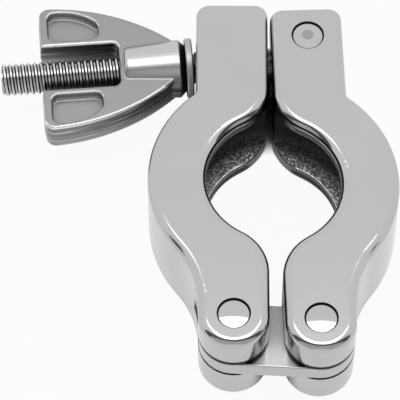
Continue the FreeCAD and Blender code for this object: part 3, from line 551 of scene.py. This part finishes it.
# The flange groove in a jaw and the lands beside its mouth, in millimetres from the middle of the bore
grooveSettings = {
    "raggedNoise": (1500.0, 3.0, 0.6),
    "raggedDepth": 0.6,
    "mouth": (13.0, 13.4),
    "floor": (17.3, 17.0),
    "flankSlope": 0.268,  # each flank comes in by this much for a millimetre of depth
    "flanks": (9.72, 9.62),
    "land": ((6.4, 6.7), (8.4, 7.8)),
    "landRadius": (13.2, 12.9),
    "rim": ((7.7, 7.9), (8.3, 8.1)),
    "slot": ((1.8, 1.9), (3.0, 2.8)),
    "slotEars": (-21.0, -21.6),
    "lowerFlank": (-0.5, -5.8),
    "nearMouth": (16.8, 13.6, 0.3, 1.0),
    "pitNoise": (2400.0, 3.0, 0.7),
    "pits": (0.44, 0.6, 0.18, 1.0),
}


def makeGrooveGroup(settings):
    tree, start, end = newGroup(
        "grooveMask", ["Centre X", "Centre Y"], ["Mask", "Flank Light", "Pits", "Land Shade", "Rim Highlight", "Slot"],
    )
    place = addCoordinates(tree, "Object")
    x, y, height = splitPlace(tree)
    radius = addLength(tree, addMath(tree, "SUBTRACT", x, start["Centre X"]),
                       addMath(tree, "SUBTRACT", y, start["Centre Y"]))
    ragged = addNoise(tree, place, *settings["raggedNoise"])
    radius = addMath(tree, "MULTIPLY_ADD", ragged, settings["raggedDepth"], radius)
    level = addMath(tree, "ABSOLUTE", height)
    slope = addMath(tree, "MULTIPLY_ADD", radius, settings["flankSlope"], level)
    deep = addBand(tree, radius, settings["mouth"], settings["floor"])
    mask = multiply(tree, deep, addRange(tree, slope, *settings["flanks"]))
    feed(tree, end["Mask"], mask)
    # Painted shade on the land, and a painted highlight: the bright line where the front round ends
    near = addRange(tree, radius, *settings["landRadius"])
    feed(tree, end["Land Shade"], multiply(tree, addBand(tree, level, *settings["land"]), near))
    feed(tree, end["Rim Highlight"], multiply(tree, addBand(tree, height, *settings["rim"]), near))
    # The shadow line on the ears, over the link's slot
    ears = addRange(tree, y, *settings["slotEars"])
    feed(tree, end["Slot"], multiply(tree, addBand(tree, height, *settings["slot"]), ears))
    # Painted light: the lower flank is lighter in its pits, the more so nearer the mouth, where more light
    # gets in
    pits = addRange(tree, addNoise(tree, place, *settings["pitNoise"]), *settings["pits"])
    flank = multiply(tree, mask, addRange(tree, height, *settings["lowerFlank"]),
                     addRange(tree, radius, *settings["nearMouth"]))
    feed(tree, end["Flank Light"], multiply(tree, flank, pits))
    feed(tree, end["Pits"], multiply(tree, pits, mask))
    return tree


# Rings and discs on the end faces, such as the dark seam around a pin, in millimetres
ringSettings = {
    "endFace": (8.6, 8.8),
    "softness": 0.05,
}


def makeRingGroup(settings):
    # The strip between two circles, which Shift moves apart along Y, so that it is wider at the top
    tree, start, end = newGroup("endRing", ["Centre X", "Centre Y", "Outer", "Inner", "Shift"], ["Mask"])
    x, y, height = splitPlace(tree)
    across = addMath(tree, "SUBTRACT", x, start["Centre X"])
    along = addMath(tree, "SUBTRACT", y, start["Centre Y"])
    mask = addRange(tree, addMath(tree, "ABSOLUTE", height), *settings["endFace"])
    for radius, side in (("Outer", 1), ("Inner", -1)):
        rise = addMath(tree, "MULTIPLY_ADD", start["Shift"], -side, along)
        within = addMath(tree, "SUBTRACT", start[radius], addLength(tree, across, rise))
        soft = side * settings["softness"]
        mask = multiply(tree, mask, addRange(tree, within, -soft, soft))
    feed(tree, end["Mask"], mask)
    return tree


finishAndLightGroup = makeFinishAndLightGroup(finishAndLightSettings)
threadGroup = makeThreadGroup(threadSettings, boltSettings)
nutGroup = makeNutGroup(nutSettings, boltSettings)
grooveGroup = makeGrooveGroup(grooveSettings)
ringGroup = makeRingGroup(ringSettings)
print("finishes:", len(bpy.data.node_groups))


def coverGroove(tree, shader, look, colour, rough, height):
    groove = useGroup(tree, grooveGroup, {"Centre X": look["groove"][0], "Centre Y": look["groove"][1]})
    mask, flank, slot = groove["Mask"], groove["Flank Light"], groove["Slot"]
    # Painted shade on the land beside the groove's mouth
    colour = mixColour(tree, colour, look["darkGrooveAndShadeColour"], multiply(tree, groove["Land Shade"], look["landShadeShare"]))
    # Painted highlight where the front round ends
    colour = mixColour(tree, colour, look["rimHighlightColour"], groove["Rim Highlight"])
    # Inside the groove the surface is made dark and dull
    colour = mixColour(tree, colour, look["darkGrooveAndShadeColour"], mask)
    # Painted shadow line over the link's slot
    colour = mixColour(tree, colour, look["seamAndShadowColour"], slot)
    # Painted light in the pits of the lower flank
    colour = mixColour(tree, colour, look["flankLightColour"], flank)
    rough = addSteps(tree, rough, (mask, look["grooveRough"]), (flank, look["flankRough"]))
    dull = addMath(tree, "MAXIMUM", mask, slot)
    metallic = addSteps(tree, 1.0, (dull, look["grooveMetal"]), (flank, look["flankMetal"]))
    feed(tree, shader.inputs["Metallic"], metallic)
    shader.inputs["Specular IOR Level"].default_value = look["grooveShine"]
    return colour, rough, addMath(tree, "MULTIPLY_ADD", groove["Pits"], look["pitDepth"], height)


def coverNut(tree, look, colour, rough):
    streaksAndLight = useGroup(tree, nutGroup)
    # Fine lines, with painted shade
    streaks = multiply(tree, streaksAndLight["Streaks"], look["streakShadeShare"])
    colour = mixColour(tree, colour, look["streakShadeColour"], streaks)
    # Painted highlights
    colour = mixColour(tree, colour, look["highlightColour"], streaksAndLight["Highlight"])
    # Painted shade at the nose
    colour = mixColour(tree, colour, look["darkGrooveAndShadeColour"], streaksAndLight["Nose Shade"])
    # Painted highlights on the rims
    colour = mixColour(tree, colour, look["rimHighlightColour"], streaksAndLight["Rim Highlights"])
    return colour, addSteps(tree, rough, (streaksAndLight["Rim Highlights"], look["rimRough"]))


def addRing(tree, centre, outer, inner, shift=0.0):
    return useGroup(tree, ringGroup, {
        "Centre X": centre[0], "Centre Y": centre[1], "Outer": outer, "Inner": inner, "Shift": shift,
    })["Mask"]


def addBump(tree, look, height):
    # Heights are in millimetres
    bump = addNode(tree, "ShaderNodeBump", None, {"Strength": 1.0, "Distance": mm})
    feed(tree, bump.inputs["Height"], height)
    if "flatten" in look:
        # A crown so low that it shades almost as a flat end
        normal = addNode(tree, "ShaderNodeNewGeometry").outputs["Normal"]
        raised = addVector(tree, "MULTIPLY", normal, (1.0, 1.0, look["flatten"])).outputs["Vector"]
        feed(tree, bump.inputs["Normal"], addVector(tree, "NORMALIZE", raised).outputs["Vector"])
    if "softEdge" in look:
        # The small rounds of a casting, which the solids don't have where two forms meet
        soft = addNode(tree, "ShaderNodeBevel", {"samples": look["softSamples"]}, {
            "Radius": look["softEdge"] * mm,
        })
        feed(tree, bump.inputs["Normal"], soft.outputs["Normal"])
    return bump.outputs["Normal"]


def makeMetal(name, look):
    material = bpy.data.materials.new(name)
    material.use_nodes = True
    tree = material.node_tree
    shader = tree.nodes["Principled BSDF"]
    shader.inputs["Metallic"].default_value = 1.0
    finishAndLight = useGroup(tree, finishAndLightGroup, {
        "Grain Scale": look["grainScale"], "Patch Scale": look["patchScale"], "Edge Size": look["edgeSize"],
    })
    patchColour = tuple(part * look["patchTone"] for part in look["colour"])
    colour = mixColour(tree, look["colour"], patchColour, finishAndLight["Patch"])
    edge, paintedShade = finishAndLight["Edge"], finishAndLight["Painted Shade"]
    # Edges made lighter: partly rubbed wear, partly a painted highlight
    colour = mixColour(tree, colour, look["edgeSheenColour"], multiply(tree, edge, look["edgeSheenShare"]))
    # Painted shade in crevices and where parts meet
    colour = mixColour(tree, colour, look["paintedShadeColour"], multiply(tree, paintedShade, look["paintedShadeShare"]))
    rough = addMath(tree, "MULTIPLY_ADD", finishAndLight["Patch"], look["roughSpread"], look["rough"])
    rough = addSteps(tree, rough, (paintedShade, look["paintedShadeRough"]), (edge, look["edgeRough"]))
    height = multiply(tree, finishAndLight["Grain"], look["grainDepth"])
    if "groove" in look:
        colour, rough, height = coverGroove(tree, shader, look, colour, rough, height)
    if "streakShadeShare" in look:
        colour, rough = coverNut(tree, look, colour, rough)
    if "threadShadeColour" in look:
        # Painted shade down in the thread
        colour = mixColour(tree, colour, look["threadShadeColour"], useGroup(tree, threadGroup)["Mask"])
    # Dark seam round each pin, a real joint, widened at the top as painted shade
    for centre in look.get("seams", []):
        seam = addRing(tree, centre, *look["seamCircles"])
        colour = mixColour(tree, colour, look["seamAndShadowColour"], seam)
        rough = addSteps(tree, rough, (seam, look["seamRough"]))
    # A darker disc on the end of the eye pin
    if "punch" in look:
        disc = addRing(tree, look["punch"], *look["punchCircles"])
        colour = mixColour(tree, colour, look["punchColour"], disc)
    feed(tree, shader.inputs["Base Color"], colour)
    feed(tree, shader.inputs["Roughness"], rough)
    feed(tree, shader.inputs["Normal"], addBump(tree, look, height))
    return material


def grey(tone, blue=0.0):
    return (tone, tone, tone + blue)


metalLook = {
    "colour": grey(0.56, 0.004),
    "patchTone": 0.97,
    "patchScale": 90.0,
    "grainScale": 5200.0,
    "grainDepth": 0.0025,
    "edgeSheenColour": grey(0.8),
    "edgeSheenShare": 0.12,
    "edgeSize": 0.0004,
    "edgeRough": 0.0,
    "paintedShadeColour": grey(0.06),
    "paintedShadeShare": 0.9,
    "paintedShadeRough": 0.12,
    "rough": 0.11,
    "roughSpread": 0.03,
}
seamLook = {
    "seamAndShadowColour": grey(0.012),
    "seamRough": 0.4,
    "seamCircles": (2.95, 2.62, 0.08),  # outer and inner radius, and how far they are shifted
}
leftSeams = [(-7.5, -27.62)]
rightSeams = [(7.478, -28.431), (5.895, 29.470)]

jawLook = dict(
    metalLook,
    **seamLook,
    darkGrooveAndShadeColour=grey(0.045),
    flankLightColour=grey(0.8),
    rimHighlightColour=grey(0.95),
    landShadeShare=0.85,
    grooveRough=0.4,
    flankRough=-0.15,
    grooveMetal=-0.85,
    flankMetal=0.8,
    grooveShine=0.08,
    pitDepth=0.03,
)
leftLook = dict(jawLook, groove=(0.0, 0.0), seams=leftSeams)
rightLook = dict(jawLook, groove=(-1.029, -1.105), seams=rightSeams)

nutLook = dict(
    metalLook,
    colour=grey(0.345, 0.003),
    rough=0.29,
    edgeSheenColour=grey(0.9),
    edgeSheenShare=0.8,
    edgeRough=-0.12,
    softEdge=0.5,
    softSamples=12,
    streakShadeColour=grey(0.05),
    streakShadeShare=0.9,
    highlightColour=grey(0.6, 0.004),
    darkGrooveAndShadeColour=grey(0.045),
    rimHighlightColour=grey(0.95),
    rimRough=-0.03,
)

pinLook = dict(
    metalLook,
    **seamLook,
    colour=grey(0.57, 0.004),
    rough=0.05,
    roughSpread=0.02,
    grainDepth=0.0,
    edgeSheenShare=0.0,
    seams=leftSeams + rightSeams,
)
punchedLook = dict(
    pinLook,
    colour=grey(0.56, 0.004),
    rough=0.14,
    flatten=6.0,
    punch=(5.895, 29.600),
    punchCircles=(1.05, -1.0),  # an inner radius below zero leaves a whole disc
    punchColour=grey(0.38, 0.004),
)

boltLook = dict(metalLook, colour=grey(0.7, 0.004), rough=0.26, paintedShadeShare=0.95, threadShadeColour=grey(0.05))
washerLook = dict(metalLook, colour=grey(0.54, 0.003), rough=0.42)
linkLook = dict(metalLook, colour=grey(0.55, 0.003), rough=0.14, paintedShadeShare=2.0)


def cover(piece, material):
    piece.data.materials.clear()
    piece.data.materials.append(material)


pinMetal = makeMetal("turnedPin", pinLook)
nodeMaterials = {
    "left_jaw": makeMetal("castLeftJaw", leftLook),
    "right_jaw": makeMetal("castRightJaw", rightLook),
    "link_plate": makeMetal("linkSteel", linkLook),
    "left_hinge_pin": pinMetal,
    "right_hinge_pin": pinMetal,
    "eye_bolt_pin": makeMetal("punchedPin", punchedLook),
    "washer": makeMetal("washerSteel", washerLook),
    "wing_nut": makeMetal("castNut", nutLook),
}
for nodeName, material in nodeMaterials.items():
    cover(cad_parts[nodeName], material)
cover(bolt, makeMetal("boltSteel", boltLook))
print("materials:", len(bpy.data.materials))

# Pale floor, just under the clamp's rear faces
floorSettings = {
    "level": -9.42,
    "size": 4.0,
    "colour": grey(0.9),
    "rough": 0.9,
    "whiteShare": 0.94,
    "slitReach": 0.005,
    "slitSamples": 32,
    "slitSpan": (0.17, 0.33),
    "shadeReach": 0.03,
    "shadeSamples": 8,
    "shadeSpan": (0.15, 0.5, 0.0, 0.9),
}


def addSeen(tree):
    # Whether a ray is the camera's own, and whether it is that or one off gloss or through glass
    path = addNode(tree, "ShaderNodeLightPath").outputs
    seen = addMath(tree, "MAXIMUM", path["Is Camera Ray"], path["Is Glossy Ray"])
    return path["Is Camera Ray"], addMath(tree, "MAXIMUM", seen, path["Is Transmission Ray"])


def mixShaders(tree, first, second, share, target):
    mix = addNode(tree, "ShaderNodeMixShader")
    for socket, source in zip(mix.inputs, (share, first.outputs[0], second.outputs[0])):
        tree.links.new(source, socket)
    tree.links.new(mix.outputs[0], target.inputs["Surface"])


def makeFloor(settings):
    bpy.ops.mesh.primitive_plane_add(size=settings["size"], location=(0, 0, settings["level"] * mm))
    floor = nameNew("floor")
    material = bpy.data.materials.new("paleFloor")
    material.use_nodes = True
    tree = material.node_tree
    shader = tree.nodes["Principled BSDF"]
    shader.inputs["Base Color"].default_value = (*settings["colour"], 1)
    shader.inputs["Roughness"].default_value = settings["rough"]
    white = addNode(tree, "ShaderNodeEmission", None, {"Color": (1, 1, 1, 1)})
    # Painted shade in the white: narrow slits stay dark to the camera, and the floor under the clamp stays
    # dark in its metal
    slit = addOcclusion(tree, settings["slitSamples"], settings["slitReach"])
    shade = addOcclusion(tree, settings["shadeSamples"], settings["shadeReach"])
    slitTone = addRange(tree, slit, *settings["slitSpan"])
    shadeTone = addRange(tree, shade, *settings["shadeSpan"])
    fromCamera, seen = addSeen(tree)
    feed(tree, white.inputs["Strength"], blend(tree, shadeTone, slitTone, fromCamera))
    share = multiply(tree, seen, settings["whiteShare"])
    mixShaders(tree, shader, white, share, tree.nodes["Material Output"])
    cover(floor, material)


# Light from all around, and what the metal sees: a white room with a darker near side, where the camera
# stands. nearTones: from which to which share of the near direction a new tone takes over.
worldSettings = {
    "light": 0.5,
    "roomTone": 0.92,
    "nearTones": [(0.1, 0.16, 0.1), (0.4, 0.52, 0.55), (0.9, 0.98, 0.9)],
}


def makeWorld(settings):
    world = bpy.data.worlds.new("studio")
    scene.world = world
    world.use_nodes = True
    tree = world.node_tree
    light = tree.nodes["Background"]
    light.inputs["Color"].default_value = (1, 1, 1, 1)
    light.inputs["Strength"].default_value = settings["light"]
    direction = splitVector(tree, addCoordinates(tree, "Generated"))
    near = multiply(tree, direction[1], -1.0)
    tone = settings["roomTone"]
    for low, high, nearTone in settings["nearTones"]:
        tone = blend(tree, tone, nearTone, addRange(tree, near, low, high))
    fromCamera, seen = addSeen(tree)
    room = addNode(tree, "ShaderNodeBackground", None, {"Color": (1, 1, 1, 1)})
    feed(tree, room.inputs["Strength"], blend(tree, tone, 1.0, fromCamera))
    mixShaders(tree, light, room, seen, tree.nodes["World Output"])


# One large panel overhead: its place and size in metres, and its power in watts
panelSettings = {
    "place": (0.0, 0.1, 0.74),
    "size": (0.52, 0.38),
    "power": 1.2,
}


def makePanel(settings):
    data = bpy.data.lights.new("overheadPanel", "AREA")
    data.shape = "RECTANGLE"
    data.size, data.size_y = settings["size"]
    data.energy = settings["power"]
    panel = bpy.data.objects.new("overheadPanel", data)
    scene.collection.objects.link(panel)
    panel.location = settings["place"]
    panel.rotation_mode = "QUATERNION"
    panel.rotation_quaternion = (-Vector(settings["place"])).to_track_quat("-Z", "Y")


makeFloor(floorSettings)
makeWorld(worldSettings)
makePanel(panelSettings)
print("stage: floor, room and", len(bpy.data.lights), "panel")
